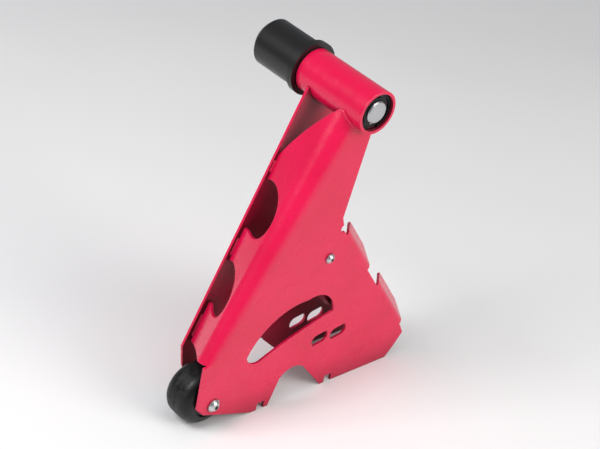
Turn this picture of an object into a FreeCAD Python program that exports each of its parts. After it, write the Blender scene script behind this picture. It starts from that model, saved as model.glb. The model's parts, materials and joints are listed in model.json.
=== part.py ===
"""Single-sided paddock stand: a folded and welded steel body, a hub spigot on ball bearings and a roller.

Millimetres. +X points to the stand's rear, where the lever goes in. +Y points along the spigot into the
wheel hub. +Z is up. The origin is on the spigot's axis, at the shoulder that the wheel hub seats on.
Heights in the outlines are measured up from the floor.
"""
import FreeCAD
import Part
import math
import os

V = FreeCAD.Vector
X_AXIS = V(1, 0, 0)
Y_AXIS = V(0, 1, 0)

# Overall sizes
hub_height = 356.0          # spigot axis above the floor
sheet = 3.0                 # steel sheet of both side plates
plate_gap = 60.0            # clear width between the two side plates
weld_gap = 0.15             # fit-up gap under a weld

# Axle tube and its bearings
tube_od = 48.3
tube_length = 97.0
tube_proud = 12.0           # tube end beyond the outer plate's face
bearing_od = 42.0
bearing_bore = 25.0
bearing_width = 9.0
bearing_depth = 5.0         # bearing face below the tube's end
bearing_step = 0.45         # step in the tube's bore behind each bearing
ball_count = 12
ball_d = 4.6
press = 0.01                # radial gap of a seated bearing ring
running = 0.05              # radial gap of a running fit
circlip_t = 1.5

# Hub adapter on the spigot
adapter_shoulder_r = 30.0
adapter_shoulder_t = 7.0
adapter_r = 26.5
adapter_length = 62.0
adapter_chamfer = 6.0
adapter_gap = 1.0           # running gap between the shoulder and the tube
collar_r = 15.0             # spigot collar that the far bearing and the adapter seat on
spigot_tip = 48.0           # spigot end inside the adapter
bolt_pocket_r = 17.0
bolt_pocket_depth = 11.0

# Folded front of the outer plate: x of its edges at the spigot's height and at the floor
web_x = (-22.0, -158.0)     # inner end of the folded web
fold_x = (-23.8, -223.2)    # sharp corner of the fold
seam_x = (8.0, -170.0)      # where the fold runs out into the flat near face
inner_front_x = (-24.0, -167.1)
fold_r_top = 22.0
fold_r_bottom = 8.0

# Side outline
plate_top = 4.0             # plates' top edge below the spigot's axis, inside the tube's saddle
neck_top = 26.0             # the rear edge turns down the neck here, below the spigot's axis
neck_x = (13.0, 12.0)       # rear edge of the outer plate's neck, at the saddle and below it
inner_neck_x = (23.0, 30.0)
toe_x = -166.0              # front edge of the outer plate
heel = (137.0, 28.0)        # rear corner above the rear foot
heel_low = (127.0, 13.0)
slot_pitch = 27.0
opening_height = 88.0       # top of the roller opening at the outer plate
window_depth = 43.0         # width of the front web's two windows
cope_depth = 80.0           # top of the front web at the inner plate, below the spigot's axis
waist = (-4.0, 225.0)
outer_arch = ((-13.0, 32.0), ((-33.0, 42.0), (-51.0, 33.0)), (-62.0, 0.0))
inner_arch = ((-18.0, 30.0), ((-26.0, 36.0), (-34.0, 30.0)), (-45.0, 0.0))
flare_top = (3.0, 206.0)
flare_bottom = (131.0, 39.0)
flange_width = 26.0
flange_taper = 14.0         # run-out at each end of a flange tab
flange_angle = 55.0         # bend of the rear flange towards the inner plate
flange_bend_r = 5.0
relief_r = 5.0

# Lever socket
socket_station = 100.0      # distance of its axis down the flare
socket_od = 30.0
socket_wall = 2.0
socket_length = 60.0
socket_reach = 12.0         # mouth beyond the flare's bend line
socket_side_gap = 3.0       # gap beside the socket in the rear flange
collar_plate_depth = 26.0   # collar plate below the mouth
brace_height = 42.0

# Roller
roller_x = -144.0
roller_r = 32.0
roller_clearance = 1.0      # tread above the floor while the stand is on its feet
roller_width = 40.0
roller_shoulder = 0.406     # radius of its rounded shoulders, as a share of its own radius
roller_side_gap = 0.5
bush_wall = 2.5
axle_d = 8.0
sleeve_wall = 2.0           # sleeve that the axle bolt clamps and the roller runs on
thrust_ring_t = 3.0         # keeps the roller off the outer plate

# Cross stay
stay_x = -12.0
stay_h = 177.0
stay_d = 6.0
stay_sleeve_d = 12.0
hole_gap = 0.25             # radial gap of a bolt in its hole
washer_t = 1.6

# Places that follow from the sizes above
roller_h = roller_r + roller_clearance
tube_far = -(adapter_shoulder_t + adapter_gap)
tube_near = tube_far - tube_length
outer_face = tube_near + tube_proud
outer_inside = outer_face + sheet
inner_inside = outer_inside + plate_gap
inner_face = inner_inside + sheet
tube_r = tube_od / 2
bearing_r = bearing_od / 2
tube_bore_r = bearing_r - bearing_step
shaft_r = bearing_bore / 2
mid_gap = (outer_inside + inner_inside) / 2


def side(y):
    """Map (x, height) to a point of the side view at depth y."""
    return lambda p: V(p[0], y, p[1] - hub_height)


def front(x):
    """Map (y, height) to a point of the front view at x."""
    return lambda p: V(x, p[0], p[1] - hub_height)


def outline(place, *steps):
    """Closed face through 2-D points; a step that holds two points is an arc through the first of them."""
    edges = []
    here = steps[0]
    for step in steps[1:] + (steps[0],):
        if isinstance(step[0], tuple):
            edges.append(Part.Arc(place(here), place(step[0]), place(step[1])).toShape())
            here = step[1]
        elif step != here:
            edges.append(Part.LineSegment(place(here), place(step)).toShape())
            here = step
    return Part.Face(Part.Wire(edges))


def rod(r, y0, y1, x=0.0, z=0.0):
    """Solid cylinder along Y."""
    return Part.makeCylinder(r, y1 - y0, V(x, y0, z), Y_AXIS)


def ring(r_in, r_out, y0, y1, x=0.0, z=0.0):
    """Hollow cylinder along Y."""
    return rod(r_out, y0, y1, x, z).cut(rod(r_in, y0 - 1, y1 + 1, x, z))


def hexagon(across_flats, y0, y1, x=0.0, z=0.0):
    """Hexagonal prism along Y."""
    r = across_flats / math.sqrt(3)
    turns = [k * math.pi / 3 for k in range(6)]
    corners = [V(x + r * math.cos(a), y0, z + r * math.sin(a)) for a in turns]
    return Part.Face(Part.makePolygon(corners + corners[:1])).extrude(V(0, y1 - y0, 0))


def group(shapes):
    return Part.makeCompound(shapes)


# Body ---------------------------------------------------------------------------------------------

def leaning(x, height):
    """x at a height on a straight edge that runs from the spigot's height down to the floor."""
    return x[0] + (x[1] - x[0]) * (hub_height - height) / hub_height


def fold_section(height):
    """Plan section of the folded sheet at one height: inner end, soft corner and start of the near face."""
    web = V(leaning(web_x, height), inner_inside)
    corner = V(leaning(fold_x, height), outer_face)
    seam = V(leaning(seam_x, height), outer_face)
    share = min(max(1 - height / hub_height, 0), 1)
    r = fold_r_top + (fold_r_bottom - fold_r_top) * share
    along = (web - corner).normalize()
    inward = V(along.y, -along.x)
    turn = math.acos(along.x)
    tangent = r / math.tan(turn / 2)
    centre = corner + X_AXIS * tangent + V(0, r)
    middle = (corner - centre).normalize()
    web_inner = web + inward * sheet
    web_inner = web_inner + along * ((inner_inside - web_inner.y) / along.y)

    def arc(radius):
        return [centre - inward * radius, centre + middle * radius, centre - Y_AXIS * radius]

    out, into = arc(r), arc(r - sheet)
    z = height - hub_height
    points = [V(p.x, p.y, z) for p in (web, *out, seam, seam + Y_AXIS * sheet, *reversed(into), web_inner)]
    edges = [Part.LineSegment(points[0], points[1]), Part.Arc(*points[1:4])]
    edges += [Part.LineSegment(points[3], points[4]), Part.LineSegment(points[4], points[5])]
    edges += [Part.LineSegment(points[5], points[6]), Part.Arc(*points[6:9])]
    edges += [Part.LineSegment(points[8], points[9]), Part.LineSegment(points[9], points[0])]
    return Part.Wire([e.toShape() for e in edges])


def web_openings():
    """Cutters through the front web: cope at the top, two half-round windows and the roller opening."""
    edge = inner_inside + 1
    below = outer_face - 1
    depth = inner_inside - window_depth
    place = front(-260)
    saddle = hub_height - 2
    cope = outline(place, (edge, hub_height - cope_depth),
                   ((inner_inside - 20, hub_height - cope_depth / 2), (inner_inside - 48, saddle)),
                   (below, saddle), (below, hub_height + tube_od), (edge, hub_height + tube_od))
    upper = outline(place, (edge, 199), (inner_inside - 12, 202), ((depth, 231), (edge, 252)))
    lower = outline(place, (edge, 115), (inner_inside - 10, 119), ((depth, 147), (edge, 161)))
    roller = outline(place, (edge, 0), (edge, 70), ((inner_inside - 28, 84), (outer_inside, opening_height)),
                     (below, opening_height), (below, 0))
    return [face.extrude(X_AXIS * 320) for face in (cope, upper, lower, roller)]


def edge_at(x, height):
    return (leaning(x, height), height)


def rear_points(neck):
    """Rear edge of a side plate from the saddle down to the heel."""
    return [(neck[0], hub_height - plate_top), (neck[1], hub_height - neck_top), waist, flare_top,
            flare_bottom, heel, heel_low]


def foot_points(arch):
    """Bottom edge of a side plate from the rear corner to the toe: two notched feet, an arch between them."""
    return [(116, 0), (31, 0), (31, 9), (21, 9), (21, 0), (15, 0), *arch, (-68, 0), (-68, 9), (-78, 9),
            (-78, 0), (-86, 0)]


def hand_hole(y0, y1):
    """Crescent that the stand is carried by."""
    crescent = outline(side(y0), (-107, 80), ((-71, 120), (-30, 129)), ((3, 121), (12, 101)),
                       ((-45, 85), (-88, 68)), ((-99, 70), (-107, 80)))
    return crescent.extrude(V(0, y1 - y0, 0))


def slot_pair(x, height, y0, y1):
    """Two leaning rounded slots side by side, starting from the lower left corner."""
    slots = []
    for step in (0, slot_pitch):
        x0 = x + step
        face = outline(side(y0), (x0, height), (x0 + 13, height + 2),
                       ((x0 + 19, height + 9), (x0 + 15, height + 16)), (x0 + 2, height + 14),
                       ((x0 - 4, height + 7), (x0, height)))
        slots.append(face.extrude(V(0, y1 - y0, 0)))
    return slots


def stay_hole(y0, y1):
    return rod(stay_d / 2 + hole_gap, y0, y1, stay_x, stay_h - hub_height)


def axle_hole(y0, y1):
    return rod(axle_d / 2 + hole_gap, y0, y1, roller_x, roller_h - hub_height)


def tube_saddle():
    return rod(tube_r + weld_gap, outer_face - 30, inner_face + 30)


def flare_direction():
    """Unit vectors down the rear flare and square to it, away from the plate."""
    down = V(flare_bottom[0] - flare_top[0], 0, flare_bottom[1] - flare_top[1]).normalize()
    return down, V(-down.z, 0, down.x)


def flange_tab(start, end):
    """One tab of the rear flange, bent from the plate's edge towards the inner plate."""
    down, away = flare_direction()
    bend = math.radians(flange_angle)
    root = side(outer_face)(flare_top) + down * start
    axis = root + Y_AXIS * (flange_bend_r + sheet)

    def spoke(radius, angle):
        return axis - Y_AXIS * (radius * math.cos(angle)) + away * (radius * math.sin(angle))

    tip = away * math.cos(bend) + Y_AXIS * math.sin(bend)
    r_out = flange_bend_r + sheet
    flat = flange_width - r_out * bend
    width = end - start
    a, b = spoke(r_out, bend), spoke(flange_bend_r, bend)
    edges = [Part.Arc(root, spoke(r_out, bend / 2), a), Part.LineSegment(a, a + tip * flat)]
    edges += [Part.LineSegment(a + tip * flat, b + tip * flat), Part.LineSegment(b + tip * flat, b)]
    edges += [Part.Arc(b, spoke(flange_bend_r, bend / 2), spoke(flange_bend_r, 0))]
    edges += [Part.LineSegment(spoke(flange_bend_r, 0), root)]
    tab = Part.Face(Part.Wire([e.toShape() for e in edges])).extrude(down * width)
    side_normal = tip.cross(down).normalize()
    root_line = a - side_normal * 20
    trim = [root_line - tip * 40, root_line - tip * 40 + down * width, root_line + down * width,
            root_line + tip * (flat + 1) + down * (width - flange_taper),
            root_line + tip * (flat + 1) + down * flange_taper, root_line]
    return tab.common(Part.Face(Part.makePolygon(trim + trim[:1])).extrude(side_normal * 40))


def outer_side_plate():
    fold = Part.makeLoft([fold_section(h) for h in (20.0, hub_height + 10)], True, True)
    for cutter in web_openings():
        fold = fold.cut(cutter)
    face = outline(side(outer_face), edge_at(seam_x, hub_height - plate_top), *rear_points(neck_x),
                   *foot_points(outer_arch), (toe_x + 10, 24), (toe_x, 34), (toe_x, opening_height),
                   edge_at(seam_x, opening_height))
    plate = face.extrude(Y_AXIS * sheet)
    flare_length = (V(*flare_top) - V(*flare_bottom)).Length
    half_gap = socket_od / 2 + socket_side_gap
    plate = plate.fuse(flange_tab(relief_r + 3, socket_station - half_gap))
    plate = plate.fuse(flange_tab(socket_station + half_gap, flare_length - 4))
    plate = plate.fuse(fold)
    relief = rod(relief_r, outer_face - 1, outer_inside + 12, flare_top[0] - 1, flare_top[1] + 4 - hub_height)
    through = (outer_face - 1, outer_inside + 1)
    cutters = [tube_saddle(), relief, hand_hole(*through), *slot_pair(-8, 60, *through)]
    for cutter in cutters + [stay_hole(*through), axle_hole(*through)]:
        plate = plate.cut(cutter)
    return plate.removeSplitter()


def inner_side_plate():
    face = outline(side(inner_inside), edge_at(inner_front_x, hub_height - plate_top),
                   *rear_points(inner_neck_x), *foot_points(inner_arch), (-124, 14), (-136, 40),
                   edge_at(inner_front_x, 66))
    plate = face.extrude(Y_AXIS * sheet)
    through = (inner_inside - 1, inner_face + 1)
    for cutter in (tube_saddle(), *slot_pair(22, 32, *through), stay_hole(*through)):
        plate = plate.cut(cutter)
    return plate


def axle_tube():
    tube = ring(tube_bore_r, tube_r, tube_near, tube_far)
    depth = bearing_depth + bearing_width
    tube = tube.cut(rod(bearing_r, tube_near - 1, tube_near + depth))
    tube = tube.cut(rod(bearing_r, tube_far - depth, tube_far + 1))
    for y in (tube_near + bearing_depth - circlip_t, tube_far - bearing_depth):
        tube = tube.cut(rod(bearing_r + 1.2, y - 0.05, y + circlip_t + 0.05))
    return tube


# Lever socket -------------------------------------------------------------------------------------

def socket_axis():
    """Mouth centre of the lever socket and the direction out of it."""
    down, away = flare_direction()
    return side(mid_gap)(flare_top) + down * socket_station + away * socket_reach, away


def socket_tube():
    mouth, away = socket_axis()
    body = Part.makeCylinder(socket_od / 2, socket_length, mouth, away * -1)
    bore_r = socket_od / 2 - socket_wall
    return body.cut(Part.makeCylinder(bore_r, socket_length + 2, mouth + away, away * -1))


def brace(depth, width, hole_r):
    """Plate square to the socket between the two side plates, its outer face at a depth below the mouth."""
    mouth, away = socket_axis()
    down = flare_direction()[0]
    corner = mouth - away * (depth + sheet) - Y_AXIS * (width / 2) - down * (brace_height / 2)
    plate = Part.makePolygon([corner, corner + Y_AXIS * width, corner + Y_AXIS * width + down * brace_height,
                              corner + down * brace_height, corner])
    solid = Part.Face(plate).extrude(away * sheet)
    if hole_r:
        solid = solid.cut(Part.makeCylinder(hole_r, depth + sheet + 20, mouth + away * 10, away * -1))
    return solid


def socket_collar_plate():
    return brace(collar_plate_depth, plate_gap - 2 * weld_gap, socket_od / 2 + weld_gap)


def socket_stop_plate():
    mouth, away = socket_axis()
    return Part.makeCylinder(socket_od / 2, sheet, mouth - away * (socket_length + weld_gap), away * -1)


# Spigot and bearings ------------------------------------------------------------------------------

near_bearing = tube_near + bearing_depth
far_bearing = tube_far - bearing_depth - bearing_width
shaft_end = tube_near + 0.5
pitch_r = (bearing_r + shaft_r) / 2
race_wall = 2.6


def spigot_shaft():
    shaft = rod(shaft_r - press, shaft_end, spigot_tip)
    shaft = shaft.fuse(rod(collar_r, tube_far - bearing_depth, -adapter_shoulder_t))
    shaft = shaft.cut(ring(shaft_r - 1.0, shaft_r + 1, near_bearing - circlip_t - 0.05, near_bearing - 0.05))
    circles = [e for e in shaft.Edges if isinstance(e.Curve, Part.Circle)]
    rim = [e for e in circles if abs(e.CenterOfMass.y - shaft_end) < 0.1]
    shaft = shaft.makeChamfer(1.2, rim)
    return shaft.cut(rod(5.0, spigot_tip - 26, spigot_tip + 1))


def bearing(y0):
    """Outer ring, inner ring, balls and seals of one deep-groove ball bearing."""
    y1 = y0 + bearing_width
    mid = (y0 + y1) / 2
    groove = Part.makeTorus(pitch_r, ball_d / 2 + 0.02, V(0, mid, 0), Y_AXIS)
    outer = ring(bearing_r - race_wall, bearing_r - press, y0, y1).cut(groove)
    inner = ring(shaft_r, shaft_r + race_wall, y0, y1).cut(groove)
    balls = []
    for k in range(ball_count):
        angle = 2 * math.pi * k / ball_count
        centre = V(pitch_r * math.cos(angle), mid, pitch_r * math.sin(angle))
        balls.append(Part.makeSphere(ball_d / 2, centre))
    seal_in, seal_out = shaft_r + race_wall + 0.1, bearing_r - race_wall
    seals = [ring(seal_in, seal_out, y, y + 1.0) for y in (y0 + 0.2, y1 - 1.2)]
    return outer, inner, group(balls), group(seals)


def bearing_spacer():
    return ring(shaft_r + 0.1, shaft_r + 3.0, near_bearing + bearing_width, far_bearing)


def circlip(r_in, r_out, y0, gap_angle):
    """Retaining ring of circlip thickness with its mouth at the bottom."""
    body = ring(r_in, r_out, y0, y0 + circlip_t)
    half = r_out * 2 * math.tan(math.radians(gap_angle / 2))
    wedge = Part.makePolygon([V(0, y0 - 1, 0), V(half, y0 - 1, -2 * r_out), V(-half, y0 - 1, -2 * r_out),
                              V(0, y0 - 1, 0)])
    return body.cut(Part.Face(wedge).extrude(Y_AXIS * (circlip_t + 2)))


def shaft_circlip():
    return circlip(shaft_r - 0.9, shaft_r + 3.2, near_bearing - circlip_t - 0.05, 40)


def tube_circlips():
    near = circlip(bearing_r - 3.0, bearing_r + 1.1, near_bearing - circlip_t, 40)
    far = circlip(bearing_r - 3.0, bearing_r + 1.1, tube_far - bearing_depth, 40)
    return group([near, far])


def hub_adapter():
    body = rod(adapter_shoulder_r, -adapter_shoulder_t, 0).fuse(rod(adapter_r, 0, adapter_length))
    tip = [e for e in body.Edges if abs(e.CenterOfMass.y - adapter_length) < 0.1]
    body = body.makeChamfer(adapter_chamfer, tip).removeSplitter()
    body = body.cut(rod(shaft_r, -adapter_shoulder_t - 1, adapter_length + 1))
    return body.cut(rod(bolt_pocket_r, adapter_length - bolt_pocket_depth, adapter_length + 1))


def adapter_washer():
    floor = adapter_length - bolt_pocket_depth
    return ring(5.25, bolt_pocket_r - 1.5, floor, floor + 3)


def adapter_bolt():
    head = adapter_length - bolt_pocket_depth + 3
    return hexagon(16, head, head + 6.4).fuse(rod(5.0, spigot_tip - 22, head)).removeSplitter()


# Roller -------------------------------------------------------------------------------------------

roller_z = roller_h - hub_height
roller_near = outer_inside + thrust_ring_t + roller_side_gap
roller_far = roller_near + roller_width
sleeve_end = roller_far + roller_side_gap
sleeve_r = axle_d / 2 + hole_gap + sleeve_wall
bush_r = sleeve_r + running + bush_wall


def roller():
    """Solid moulded wheel with rounded shoulders, a shallow dished side and a bore for its bush."""
    y0, y1, s = roller_near, roller_far, roller_shoulder * roller_r
    k = s * (1 - math.sqrt(0.5))
    rim = roller_r - s
    hub = bush_r + 4

    def at(y, r):
        return V(roller_x, y, roller_z + r)

    edges = [Part.LineSegment(at(y0, bush_r), at(y0, hub))]
    edges += [Part.LineSegment(at(y0, hub), at(y0 + 2, hub + 1))]
    edges += [Part.LineSegment(at(y0 + 2, hub + 1), at(y0 + 2, rim - 1))]
    edges += [Part.LineSegment(at(y0 + 2, rim - 1), at(y0, rim))]
    edges += [Part.Arc(at(y0, rim), at(y0 + k, roller_r - k), at(y0 + s, roller_r))]
    edges += [Part.LineSegment(at(y0 + s, roller_r), at(y1 - s, roller_r))]
    edges += [Part.Arc(at(y1 - s, roller_r), at(y1 - k, roller_r - k), at(y1, rim))]
    edges += [Part.LineSegment(at(y1, rim), at(y1 - 2, rim - 1))]
    edges += [Part.LineSegment(at(y1 - 2, rim - 1), at(y1 - 2, hub + 1))]
    edges += [Part.LineSegment(at(y1 - 2, hub + 1), at(y1, hub))]
    edges += [Part.LineSegment(at(y1, hub), at(y1, bush_r))]
    edges += [Part.LineSegment(at(y1, bush_r), at(y0, bush_r))]
    face = Part.Face(Part.Wire([e.toShape() for e in edges]))
    return face.revolve(V(roller_x, 0, roller_z), Y_AXIS, 360)


def roller_bush():
    return ring(sleeve_r + running, bush_r, roller_near, roller_far, roller_x, roller_z)


def roller_sleeve():
    return ring(axle_d / 2 + hole_gap, sleeve_r, outer_inside, sleeve_end, roller_x, roller_z)


def roller_thrust_ring():
    inside, outside = sleeve_r + hole_gap, bush_r + 1
    return ring(inside, outside, outer_inside, outer_inside + thrust_ring_t, roller_x, roller_z)


# Bolts --------------------------------------------------------------------------------------------

def button_bolt(d, head_y, end_y, x, z):
    """Button-head bolt with a hexagon socket; its head stands in front of head_y."""
    head_r, head_t = 0.875 * d, 0.55 * d
    sphere_r = (head_r * head_r + head_t * head_t) / (2 * head_t)
    half_turn = math.asin(head_r / sphere_r) / 2
    top = head_y - head_t

    def at(y, r):
        return V(x, y, z + r)

    dome_middle = at(top + sphere_r * (1 - math.cos(half_turn)), sphere_r * math.sin(half_turn))
    corners = [at(head_y, head_r), at(head_y, d / 2), at(end_y, d / 2), at(end_y, 0), at(top, 0)]
    edges = [Part.Arc(corners[-1], dome_middle, corners[0])]
    edges += [Part.LineSegment(a, b) for a, b in zip(corners, corners[1:])]
    bolt = Part.Face(Part.Wire([e.toShape() for e in edges])).revolve(V(x, 0, z), Y_AXIS, 360)
    return bolt.cut(hexagon(d * 0.6, top - 1, head_y - head_t * 0.35, x, z))


def hex_nut(d, y0, thickness, x, z):
    return hexagon(d * 1.65, y0, y0 + thickness, x, z).cut(rod(d / 2, y0 - 1, y0 + thickness + 1, x, z))


def washer(d, y0, x, z):
    return ring(d / 2 + hole_gap, d * 0.93, y0, y0 + washer_t, x, z)


def roller_axle_parts():
    """Axle bolt from the outer face, a washer at each end of what it clamps, and its lock nut."""
    head_y, nut_y, nut_t = outer_face - washer_t, sleeve_end + washer_t, 0.95 * axle_d
    bolt = button_bolt(axle_d, head_y, nut_y + nut_t + 2, roller_x, roller_z)
    far_washer = ring(axle_d / 2 + hole_gap, bush_r + 1, sleeve_end, nut_y, roller_x, roller_z)
    washers = group([washer(axle_d, head_y, roller_x, roller_z), far_washer])
    return {"roller_axle_bolt": bolt, "roller_axle_washers": washers,
            "roller_axle_nut": hex_nut(axle_d, nut_y, nut_t, roller_x, roller_z)}


def stay_parts():
    """Cross stay: bolt from the outer face, spacer sleeve, two washers and the lock nut at the far end."""
    z = stay_h - hub_height
    head_y, nut_y, nut_t = outer_face - washer_t, inner_face + washer_t, 0.95 * stay_d
    bolt = button_bolt(stay_d, head_y, nut_y + nut_t + 2, stay_x, z)
    sleeve = ring(stay_d / 2 + hole_gap, stay_sleeve_d / 2, outer_inside, inner_inside, stay_x, z)
    washers = group([washer(stay_d, head_y, stay_x, z), washer(stay_d, inner_face, stay_x, z)])
    return {"stay_bolt": bolt, "stay_sleeve": sleeve, "stay_washers": washers,
            "stay_nut": hex_nut(stay_d, nut_y, nut_t, stay_x, z)}


def build():
    parts = {
        "outer_side_plate": outer_side_plate(),
        "inner_side_plate": inner_side_plate(),
        "axle_tube": axle_tube(),
        "lever_socket_tube": socket_tube(),
        "socket_collar_plate": socket_collar_plate(),
        "socket_stop_plate": socket_stop_plate(),
        "spigot_shaft": spigot_shaft(),
        "bearing_spacer": bearing_spacer(),
        "shaft_circlip": shaft_circlip(),
        "tube_circlips": tube_circlips(),
        "hub_adapter": hub_adapter(),
        "adapter_washer": adapter_washer(),
        "adapter_bolt": adapter_bolt(),
        "roller": roller(),
        "roller_bush": roller_bush(),
        "roller_sleeve": roller_sleeve(),
        "roller_thrust_ring": roller_thrust_ring(),
        **roller_axle_parts(),
        **stay_parts(),
    }
    for place, y0 in (("near", near_bearing), ("far", far_bearing)):
        names = ("outer_ring", "inner_ring", "balls", "seals")
        parts.update({f"{place}_bearing_{name}": shape for name, shape in zip(names, bearing(y0))})
    return parts


os.makedirs("parts", exist_ok=True)
for node, shape in build().items():
    shape.exportStep(f"parts/{node}.step")
    solids = len(shape.Solids)
    print(f"{node:24s} solids {solids:2d} volume {shape.Volume:10.0f} valid {shape.isValid()}")
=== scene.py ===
# %% [markdown]
# # A single-sided paddock stand
#
# The real thing is a workshop stand. It is cut from 3 mm steel sheet, folded, welded and powder coated in a
# gloss red. A pin turns in the tube at its top and goes into a motorcycle's hollow rear hub, and a black
# plastic roller at its front foot lets it be wheeled about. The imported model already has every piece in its
# right place and size, so this notebook adds what the eye reads on such a stand: weld beads, rounded
# edges, coatings and metals, the moulded roller's seam, a floor, soft light and a camera.

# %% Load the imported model
import math
import json
import bmesh
import bpy
from mathutils import Matrix, Vector


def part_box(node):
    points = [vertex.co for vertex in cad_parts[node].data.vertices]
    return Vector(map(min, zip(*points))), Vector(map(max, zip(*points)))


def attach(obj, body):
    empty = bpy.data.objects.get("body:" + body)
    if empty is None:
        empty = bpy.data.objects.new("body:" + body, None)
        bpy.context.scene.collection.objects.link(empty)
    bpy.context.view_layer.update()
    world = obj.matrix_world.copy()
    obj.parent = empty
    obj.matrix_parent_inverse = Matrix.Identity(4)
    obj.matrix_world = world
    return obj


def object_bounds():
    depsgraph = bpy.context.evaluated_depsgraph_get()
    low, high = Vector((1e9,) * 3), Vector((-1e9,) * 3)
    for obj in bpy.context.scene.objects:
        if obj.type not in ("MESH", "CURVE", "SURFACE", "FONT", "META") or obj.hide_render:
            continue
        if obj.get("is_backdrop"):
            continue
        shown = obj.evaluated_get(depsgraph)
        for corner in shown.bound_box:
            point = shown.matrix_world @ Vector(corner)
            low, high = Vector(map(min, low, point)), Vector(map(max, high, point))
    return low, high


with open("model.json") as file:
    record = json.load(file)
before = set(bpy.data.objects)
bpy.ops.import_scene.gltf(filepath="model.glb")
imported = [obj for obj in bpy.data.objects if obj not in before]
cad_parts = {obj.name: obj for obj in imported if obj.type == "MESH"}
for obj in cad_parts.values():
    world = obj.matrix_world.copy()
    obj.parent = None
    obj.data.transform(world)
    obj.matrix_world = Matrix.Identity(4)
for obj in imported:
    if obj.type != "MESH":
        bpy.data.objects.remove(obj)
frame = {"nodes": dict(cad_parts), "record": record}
cad_low, cad_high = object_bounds()
nodes = frame["nodes"]
floor_z = cad_low.z
print("model box in metres:", [round(c, 3) for c in (*cad_low, *cad_high)])

# %% [markdown]
# ## Colours and nodes
#
# A shader wants linear colour, and people pick colours in sRGB hex, so one function turns one into the
# other. A second small function adds a shader node, sets it up and wires its inputs. Every material below
# is made with those two.

# %% Two helpers for materials
MM = 0.001


def linear(hex_colour):
    """Turn an sRGB hex colour into the linear colour that a shader socket takes."""
    shares = [int(hex_colour[i:i + 2], 16) / 255 for i in (1, 3, 5)]
    return [s / 12.92 if s <= 0.04045 else ((s + 0.055) / 1.055) ** 2.4 for s in shares] + [1.0]


def add(tree, kind, inputs=None, **settings):
    """Add one shader node. An input is a number, a colour or another node's output socket."""
    made = tree.nodes.new("ShaderNode" + kind)
    for name, value in settings.items():
        setattr(made, name, value)
    for socket, value in (inputs or {}).items():
        if isinstance(value, bpy.types.NodeSocket):
            tree.links.new(value, made.inputs[socket])
        else:
            made.inputs[socket].default_value = value
    return made


def finish_of(name, **sockets):
    """Start a material: its tree, its surface shader with plain sockets set, and object coordinates."""
    material = bpy.data.materials.new(name)
    material.use_nodes = True
    tree = material.node_tree
    shader = tree.nodes["Principled BSDF"]
    for socket, value in sockets.items():
        shader.inputs[socket.replace("_", " ")].default_value = value
    return material, tree, shader, add(tree, "TexCoord").outputs["Object"]


def noise(tree, where, size, detail=2.0, roughness=0.5):
    """Even noise whose lumps are about this many metres across."""
    return add(tree, "TexNoise", {"Vector": where, "Scale": 1 / size, "Detail": detail,
                                  "Roughness": roughness}).outputs["Fac"]


def remap(tree, value, low, high, to_low=0.0, to_high=1.0):
    """Stretch a value's range from low..high to another range, and clamp it there."""
    return add(tree, "MapRange", {"Value": value, "From Min": low, "From Max": high,
                                  "To Min": to_low, "To Max": to_high}).outputs["Result"]


def mixed(tree, share, first, second):
    """Blend two colours; each is a hex string or a colour socket."""
    made = add(tree, "Mix", {"Factor": share}, data_type="RGBA")
    for socket, colour in ((6, first), (7, second)):
        if isinstance(colour, str):
            made.inputs[socket].default_value = linear(colour)
        else:
            tree.links.new(colour, made.inputs[socket])
    return made.outputs[2]


# %% [markdown]
# ## Gloss red powder coat
#
# The stand is sprayed with dry polyester powder that melts into a skin about a tenth of a millimetre thick.
# The skin flows back from sharp edges, so cut edges look rounded, and they are painted a little lighter as a
# highlight. It never levels quite flat: a faint ripple called orange peel breaks up its reflections. A bevel
# node finds the edges, and noises make the peel, the slight unevenness of the colour and the change of gloss.
# Deep between the plates the colour is painted dark as shade, and the coat is made duller there. Under the
# feet it is scraped through to bare steel.

# %% Powder coat
EDGE_ROUNDING = 0.9 * MM
PEEL_SIZE = 3.5 * MM
CLOUD_SIZE = 45 * MM
CHIP_SIZE = 3.0 * MM
PAINTED_SHADE_DEPTH = 80 * MM
SCRAPED_HEIGHT = 1.2 * MM
GLOSS_PATCH_SIZE = 9 * MM

red_coat, tree, shader, where = finish_of("red_gloss_powder_coat", IOR=1.5, Specular_IOR_Level=0.44)
rounded = add(tree, "Bevel", {"Radius": EDGE_ROUNDING}, samples=6).outputs["Normal"]
facing = add(tree, "NewGeometry").outputs["Normal"]
flatness = add(tree, "VectorMath", {0: rounded, 1: facing}, operation="DOT_PRODUCT").outputs["Value"]
# Edges are painted lighter in the base colour: a painted highlight along the rounded edges.
painted_edge_highlight = remap(tree, flatness, 0.995, 0.86, 0.0, 0.55)
clouds = noise(tree, where, CLOUD_SIZE, 3.0)
body_red = mixed(tree, remap(tree, clouds, 0.35, 0.65), "#D50843", "#DD0B49")
# Deep between the plates the colour is painted dark red: painted shade. The same mask also makes the coat
# duller there.
open_air = add(tree, "AmbientOcclusion", {"Distance": PAINTED_SHADE_DEPTH}, samples=8).outputs["AO"]
painted_shade_and_dullness = remap(tree, open_air, 0.7, 0.3, 0.0, 0.95)
skin = mixed(tree, painted_shade_and_dullness, mixed(tree, painted_edge_highlight, body_red, "#F4587C"), "#480312")
height = add(tree, "SeparateXYZ", {"Vector": where}).outputs["Z"]
low_down = remap(tree, height, floor_z + SCRAPED_HEIGHT, floor_z)
chips = remap(tree, noise(tree, where, CHIP_SIZE, 4.0), 0.42, 0.5)
scraped = add(tree, "Math", {0: low_down, 1: chips}, operation="MULTIPLY").outputs["Value"]
tree.links.new(mixed(tree, scraped, skin, "#77736F"), shader.inputs["Base Color"])
tree.links.new(scraped, shader.inputs["Metallic"])
gloss = remap(tree, noise(tree, where, GLOSS_PATCH_SIZE, 3.0), 0.3, 0.7, 0.21, 0.29)
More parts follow.
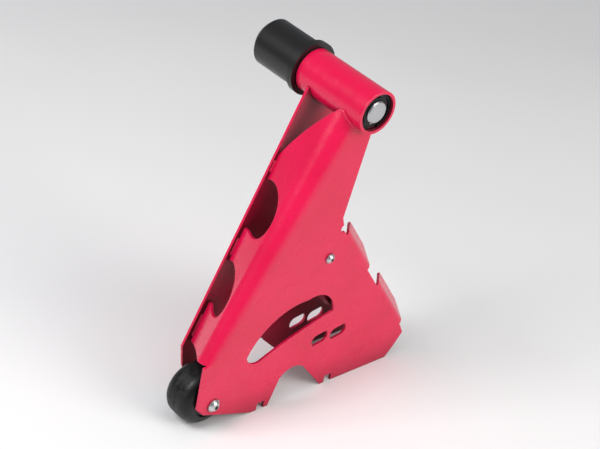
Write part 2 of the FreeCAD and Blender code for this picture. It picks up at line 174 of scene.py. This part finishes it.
dull = add(tree, "Math", {0: painted_shade_and_dullness, 1: 0.45, 2: gloss}, operation="MULTIPLY_ADD")
tree.links.new(dull.outputs["Value"], shader.inputs["Roughness"])
peel = noise(tree, where, PEEL_SIZE, 1.5)
bump = add(tree, "Bump", {"Height": peel, "Distance": 0.012 * MM, "Strength": 0.5, "Normal": rounded})
tree.links.new(bump.outputs["Normal"], shader.inputs["Normal"])

# %% [markdown]
# ## Metals
#
# The shaft is ground and the bearing rings are polished. The bolts, washers, nuts and spacers are zinc
# plated: a pale, slightly cloudy silver. The circlips are spring steel with a dark phosphate skin, and the
# bush is sintered bronze, which looks grainy because it is pressed from powder. Turned and ground parts
# carry fine rings round their axis, so their pattern is a noise that knows only the distance from that
# axis and the place along it.

# %% Turned lines, then the metals
SPIGOT_AXIS = (0.0, 0.0, 0.0)
roller_low, roller_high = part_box("roller")
roller_centre = (roller_low + roller_high) / 2


def from_axis(tree, where, centre):
    """Distance from the axis along Y through this centre, and the place along it."""
    moved = add(tree, "Mapping", {"Vector": where, "Location": [-c for c in centre]}).outputs["Vector"]
    split = add(tree, "SeparateXYZ", {"Vector": moved})
    flat = add(tree, "CombineXYZ", {"X": split.outputs["X"], "Y": split.outputs["Z"]}).outputs["Vector"]
    return add(tree, "VectorMath", {0: flat}, operation="LENGTH").outputs["Value"], split.outputs["Y"]


def turned(tree, where, centre, pitch):
    """Fine rings round an axis, as a lathe or a grinder leaves."""
    away, place = from_axis(tree, where, centre)
    return noise(tree, add(tree, "CombineXYZ", {"X": away, "Y": place}).outputs["Vector"], pitch)


def turned_metal(name, dark, pale, rough, pitch, centre=SPIGOT_AXIS, depth=0.01 * MM):
    """A bare metal with turning or grinding rings in its colour, gloss and relief."""
    material, tree, shader, where = finish_of(name, Metallic=1.0)
    rings = turned(tree, where, centre, pitch)
    tree.links.new(mixed(tree, remap(tree, rings, 0.35, 0.65), dark, pale), shader.inputs["Base Color"])
    tree.links.new(remap(tree, rings, 0.3, 0.7, rough * 0.8, rough * 1.25), shader.inputs["Roughness"])
    bump = add(tree, "Bump", {"Height": rings, "Distance": depth, "Strength": 0.5})
    tree.links.new(bump.outputs["Normal"], shader.inputs["Normal"])
    return material


ground_steel = turned_metal("ground_steel", "#A9AAAC", "#C8C9CB", 0.24, 0.35 * MM)
bearing_steel = turned_metal("polished_bearing_steel", "#9FA0A3", "#BDBEC1", 0.14, 0.3 * MM)


def clouded_metal(name, dark, pale, rough, size, metallic=1.0, depth=0.02 * MM, corner_shade_colour="#1A1715"):
    """A plated, phosphated or sintered metal: cloudy colour and gloss, a fine grain, painted shade in
    corners.
    """
    material, tree, shader, where = finish_of(name, Metallic=metallic)
    clouds = noise(tree, where, size, 4.0, 0.6)
    plated = mixed(tree, remap(tree, clouds, 0.35, 0.65), dark, pale)
    # Corners and recesses are painted dark: painted shade.
    open_air = add(tree, "AmbientOcclusion", {"Distance": 2.5 * MM}, samples=8).outputs["AO"]
    painted_corner_shade = remap(tree, open_air, 0.3, 0.85)
    tree.links.new(mixed(tree, painted_corner_shade, corner_shade_colour, plated), shader.inputs["Base Color"])
    tree.links.new(remap(tree, clouds, 0.3, 0.7, rough * 0.75, rough * 1.3), shader.inputs["Roughness"])
    rounded = add(tree, "Bevel", {"Radius": 0.3 * MM}, samples=4).outputs["Normal"]
    grain = noise(tree, where, size / 6, 2.0)
    bump = add(tree, "Bump", {"Height": grain, "Distance": depth, "Strength": 0.4, "Normal": rounded})
    tree.links.new(bump.outputs["Normal"], shader.inputs["Normal"])
    return material


zinc_plate = clouded_metal("bright_zinc_plate", "#B4B8BC", "#D6D8D6", 0.3, 2.4 * MM)
phosphate = clouded_metal("phosphated_spring_steel", "#1B1B1D", "#2C2C2E", 0.42, 1.2 * MM, 0.7)
bronze = clouded_metal("sintered_bronze", "#7E5F38", "#A07B48", 0.5, 0.9 * MM, 1.0, 0.05 * MM)

# %% [markdown]
# ## Plastics and rubber
#
# The hub adapter is turned from black acetal bar, so it has a satin skin with lathe rings. The roller is
# moulded nylon: its mould was spark eroded, which gives a fine matt grain, and its tread is scuffed grey
# where it runs on concrete. The bearing seals are matt nitrile rubber.

# %% Plastics and rubber
acetal, tree, shader, where = finish_of("turned_black_acetal", IOR=1.48)
rings = turned(tree, where, SPIGOT_AXIS, 0.5 * MM)
tree.links.new(mixed(tree, remap(tree, rings, 0.3, 0.7), "#0B0B0C", "#161617"), shader.inputs["Base Color"])
tree.links.new(remap(tree, rings, 0.3, 0.7, 0.28, 0.4), shader.inputs["Roughness"])
bump = add(tree, "Bump", {"Height": rings, "Distance": 0.02 * MM, "Strength": 0.5})
tree.links.new(bump.outputs["Normal"], shader.inputs["Normal"])

SCUFF_SIZE = 5 * MM
SCUFFED_DEPTH = 3 * MM
SPARK_GRAIN = 0.6 * MM
nylon, tree, shader, where = finish_of("moulded_black_nylon", IOR=1.53, Specular_IOR_Level=0.3)
radius, _ = from_axis(tree, where, roller_centre)
tread_r = (roller_high.z - roller_low.z) / 2
on_tread = remap(tree, radius, tread_r - SCUFFED_DEPTH, tread_r)
scuffs = remap(tree, noise(tree, where, SCUFF_SIZE, 6.0, 0.65), 0.44, 0.62)
scuffed = add(tree, "Math", {0: on_tread, 1: scuffs}, operation="MULTIPLY").outputs["Value"]
tree.links.new(mixed(tree, scuffed, "#060607", "#1D1C1B"), shader.inputs["Base Color"])
tree.links.new(remap(tree, scuffed, 0.0, 1.0, 0.36, 0.62), shader.inputs["Roughness"])
grain = noise(tree, where, SPARK_GRAIN)
bump = add(tree, "Bump", {"Height": grain, "Distance": 0.04 * MM, "Strength": 0.5})
tree.links.new(bump.outputs["Normal"], shader.inputs["Normal"])

nitrile, tree, shader, where = finish_of("nitrile_rubber", IOR=1.52)
dust = remap(tree, noise(tree, where, 4 * MM, 4.0), 0.4, 0.65)
tree.links.new(mixed(tree, dust, "#0A0A0A", "#161514"), shader.inputs["Base Color"])
tree.links.new(remap(tree, dust, 0.0, 1.0, 0.42, 0.6), shader.inputs["Roughness"])

# %% [markdown]
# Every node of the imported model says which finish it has, so one table from the record's finishes to the
# materials above paints them all.

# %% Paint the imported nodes
finish_for = {"red_powder_coat": red_coat, "zinc_steel": zinc_plate, "ground_steel": ground_steel,
              "bearing_steel": bearing_steel, "spring_steel": phosphate, "black_acetal": acetal,
              "black_polyamide": nylon, "nitrile_seal": nitrile, "sintered_bronze": bronze}
for part in frame["record"]["subparts"]:
    mesh = nodes[part["node"]].data
    mesh.materials.clear()
    mesh.materials.append(finish_for[part["material_slot"]])

# %% [markdown]
# ## Weld beads
#
# The sheets, the tube and the lever socket are joined by hand with an electric arc. Each bead is a chain of
# overlapping puddles, about 2 mm apart, laid in the corner between two surfaces. A circle is carried along
# the joint, and its radius swells and shrinks once for each puddle. Only the part of it outside the steel
# shows. The powder coat goes over it.

# %% Carry a rippled circle along a joint
PUDDLE = 2.1 * MM
RINGS_PER_PUDDLE = 5
PUDDLE_SWELL = 0.13
END_RINGS = 6
TUBE_BEAD, WEB_BEAD, SOCKET_BEAD = 2.3 * MM, 2.0 * MM, 1.9 * MM


def along(points, spacing):
    """Points evenly spaced along a polyline."""
    made, left = [points[0].copy()], spacing
    for a, b in zip(points, points[1:]):
        run = (b - a).length
        while left <= run:
            made.append(a.lerp(b, left / run))
            left += spacing
        left -= run
    return made


def weld_bead(name, points, radius, body="frame"):
    """A rippled bead whose centre line follows these points."""
    path = along([Vector(p) for p in points], PUDDLE / RINGS_PER_PUDDLE)
    mesh = bmesh.new()
    rings = [bmesh.ops.create_circle(mesh, cap_ends=True, segments=12, radius=1.0)["verts"]]
    loop = mesh.edges[:]
    for _ in path[1:]:
        made = bmesh.ops.extrude_edge_only(mesh, edges=loop)["geom"]
        rings.append([g for g in made if isinstance(g, bmesh.types.BMVert)])
        loop = [g for g in made if isinstance(g, bmesh.types.BMEdge) and all(v in made for v in g.verts)]
    bmesh.ops.contextual_create(mesh, geom=loop)
    last = len(path) - 1
    for i, verts in enumerate(rings):
        ahead = path[min(i + 1, last)] - path[max(i - 1, 0)]
        turn = ahead.to_track_quat("Z", "Y").to_matrix().to_4x4()
        phase = (i % RINGS_PER_PUDDLE) / RINGS_PER_PUDDLE
        swell = 1 + PUDDLE_SWELL * math.sin(math.pi * phase) ** 0.7
        end = min(1.0, (i + 1) / END_RINGS, (last - i + 1) / END_RINGS) ** 0.5
        place = Matrix.Translation(path[i]) @ turn @ Matrix.Scale(radius * swell * end, 4)
        bmesh.ops.transform(mesh, matrix=place, verts=verts)
    bmesh.ops.recalc_face_normals(mesh, faces=mesh.faces)
    data = bpy.data.meshes.new(name)
    mesh.to_mesh(data)
    mesh.free()
    data.shade_smooth()
    data.materials.append(red_coat)
    piece = bpy.data.objects.new(name, data)
    bpy.context.collection.objects.link(piece)
    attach(piece, body)
    print(name, len(path), "rings,", round(last * PUDDLE / RINGS_PER_PUDDLE / MM), "mm")


# %% [markdown]
# The beads under the tube follow the edge that the plates' saddle leaves on them, and that edge can be read
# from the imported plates: it is the row of their points at the saddle's radius, on the plate's outer skin.

# %% Beads between the tube and the plates
tube_low, tube_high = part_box("axle_tube")
tube_r = (tube_high.z - tube_low.z) / 2
SADDLE_GAP = 0.15 * MM


def saddle_edge(plate, outer_side):
    """The plate's edge on its saddle, as points in order round the tube, on its near or far skin."""
    rows = {}
    for vertex in nodes[plate].data.vertices:
        p = vertex.co
        if abs(math.hypot(p.x, p.z) - tube_r - SADDLE_GAP) < 0.03 * MM:
            turn = round(math.degrees(math.atan2(p.z, p.x)) % 360 / 4)
            if turn not in rows or (p.y < rows[turn].y) == outer_side:
                rows[turn] = p.copy()
    return [rows[k] for k in sorted(rows)]


near_edge = saddle_edge("outer_side_plate", True)
far_edge = saddle_edge("inner_side_plate", False)
weld_bead("weld_tube_to_outer_plate", near_edge, TUBE_BEAD)
weld_bead("weld_tube_to_inner_plate", far_edge, TUBE_BEAD)

# %% [markdown]
# The folded web meets the inner plate along a straight line, and it is stitched there between the windows.
# The lever socket's collar is welded to both plates and round the socket. The stay's sleeve spans the gap
# between the plates, so its two ends give their inner faces.

# %% Stitches on the web, and the socket's beads
outer_skin, inner_skin = (corner.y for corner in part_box("stay_sleeve"))
WEB_X, WEB_LEAN = -22 * MM, 0.382
COLLAR_DEPTH, COLLAR_REACH, SOCKET_R = 26 * MM, 18 * MM, 15 * MM
COLLAR_STEPS = 36


def on_seam(height):
    """A point of the seam between the web and the inner plate, at this height above the floor."""
    z = floor_z + height
    return Vector((WEB_X + WEB_LEAN * z, inner_skin, z))


for i, (low, high) in enumerate(((76, 102), (168, 188), (260, 274))):
    weld_bead(f"weld_web_stitch_{i + 1}", [on_seam(low * MM), on_seam(high * MM)], WEB_BEAD)

socket_mount = next(m for m in frame["record"]["mounts"] if m["name"] == "lever_socket")
mouth, out = Vector(socket_mount["pos_m"]), Vector(socket_mount["axis"])
down = Vector((out.z, 0, -out.x))
collar = mouth - out * COLLAR_DEPTH
reach = down * COLLAR_REACH
for name, y in (("outer", outer_skin), ("inner", inner_skin)):
    middle = Vector((collar.x, y, collar.z))
    weld_bead(f"weld_collar_to_{name}_plate", [middle - reach, middle + reach], SOCKET_BEAD)
turns = [k * 2 * math.pi / COLLAR_STEPS for k in range(COLLAR_STEPS + 1)]
around = [collar + (down * math.cos(t) + Vector((0, 1, 0)) * math.sin(t)) * SOCKET_R for t in turns]
weld_bead("weld_collar_to_socket", around, SOCKET_BEAD)

# %% [markdown]
# ## The roller's parting line
#
# The roller is moulded in two halves, and plastic creeps into the joint of the mould, which leaves a fine
# raised line round the middle of the tread. The outline of a small rectangle is spun round the axle.

# %% Parting line
FLASH_HALF_WIDTH, FLASH_HEIGHT = 0.45 * MM, 0.22 * MM
FLASH_STEPS = 96
mesh = bmesh.new()
made = bmesh.ops.create_grid(mesh, x_segments=1, y_segments=1, size=1.0)["verts"]
flash = Matrix.Translation(roller_centre + Vector((0, 0, tread_r))) @ Matrix.Diagonal(
    (1, FLASH_HALF_WIDTH, FLASH_HEIGHT, 1)) @ Matrix.Rotation(math.pi / 2, 4, "Y")
bmesh.ops.transform(mesh, matrix=flash, verts=made)
bmesh.ops.delete(mesh, geom=mesh.faces[:], context="FACES_ONLY")
bmesh.ops.spin(mesh, geom=mesh.edges[:] + mesh.verts[:], cent=roller_centre, axis=(0, 1, 0),
               angle=2 * math.pi, steps=FLASH_STEPS, use_merge=True)
bmesh.ops.recalc_face_normals(mesh, faces=mesh.faces)
data = bpy.data.meshes.new("roller_parting_line")
mesh.to_mesh(data)
mesh.free()
data.materials.append(nylon)
parting = bpy.data.objects.new("roller_parting_line", data)
bpy.context.collection.objects.link(parting)
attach(parting, "roller")

# %% [markdown]
# ## Floor, light and camera
#
# A pale, nearly matt floor carries a soft shadow. Most of the light comes from two wide panels, one on the
# near side and one high in front, and a weak one overhead lifts the top of the tube. The air around is an
# even pale grey. The camera stands off the stand's front corner, on its near side, and looks down at it
# with a slight roll.

# %% Floor
FLOOR_SIZE = 14
bpy.ops.mesh.primitive_plane_add(size=FLOOR_SIZE, location=(0, 0, floor_z))
floor = bpy.context.object
floor.name = "floor"
floor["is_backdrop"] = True
concrete, tree, shader, where = finish_of("pale_floor", Roughness=0.6)
tint = remap(tree, noise(tree, where, 0.5, 3.0), 0.35, 0.65)
tree.links.new(mixed(tree, tint, "#E9E9EA", "#EDEDEE"), shader.inputs["Base Color"])
floor.data.materials.append(concrete)

# %% Light
world = bpy.data.worlds.new("studio_air")
world.use_nodes = True
world.node_tree.nodes["Background"].inputs["Color"].default_value = linear("#EEF0F3")
world.node_tree.nodes["Background"].inputs["Strength"].default_value = 0.36
bpy.context.scene.world = world
aim = (cad_low + cad_high) / 2


def panel(name, place, size, watts, colour="#FFFFFF"):
    """A square light panel that faces the stand."""
    light = bpy.data.lights.new(name, "AREA")
    light.size, light.energy, light.color = size, watts, linear(colour)[:3]
    lamp = bpy.data.objects.new(name, light)
    bpy.context.collection.objects.link(lamp)
    lamp.location = place
    lamp.rotation_mode = "QUATERNION"
    lamp.rotation_quaternion = (aim - Vector(place)).to_track_quat("-Z", "Y")


panel("near_panel", (0.5, -1.7, 0.75), 1.2, 23, "#FFFBF6")
panel("front_panel", (-1.35, 0.25, 1.15), 0.9, 26)
panel("top_panel", (-0.1, -0.5, 1.7), 1.2, 7)

# %% Camera
CAMERA_PLACE = Vector((-1.318, -1.226, 0.932))
CAMERA_AIM = Vector((-0.020, -0.050, -0.160))
CAMERA_ROLL = math.radians(-11.4)
camera = bpy.data.objects.new("camera", bpy.data.cameras.new("camera"))
bpy.context.collection.objects.link(camera)
camera.location = CAMERA_PLACE
look = (CAMERA_AIM - CAMERA_PLACE).to_track_quat("-Z", "Y")
camera.rotation_mode = "QUATERNION"
camera.rotation_quaternion = look @ Matrix.Rotation(-CAMERA_ROLL, 3, "Z").to_quaternion()
camera.data.lens = 118
bpy.context.scene.camera = camera
bpy.context.scene.view_settings.view_transform = "Standard"

# %% Measure the scene's bounds
low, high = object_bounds()
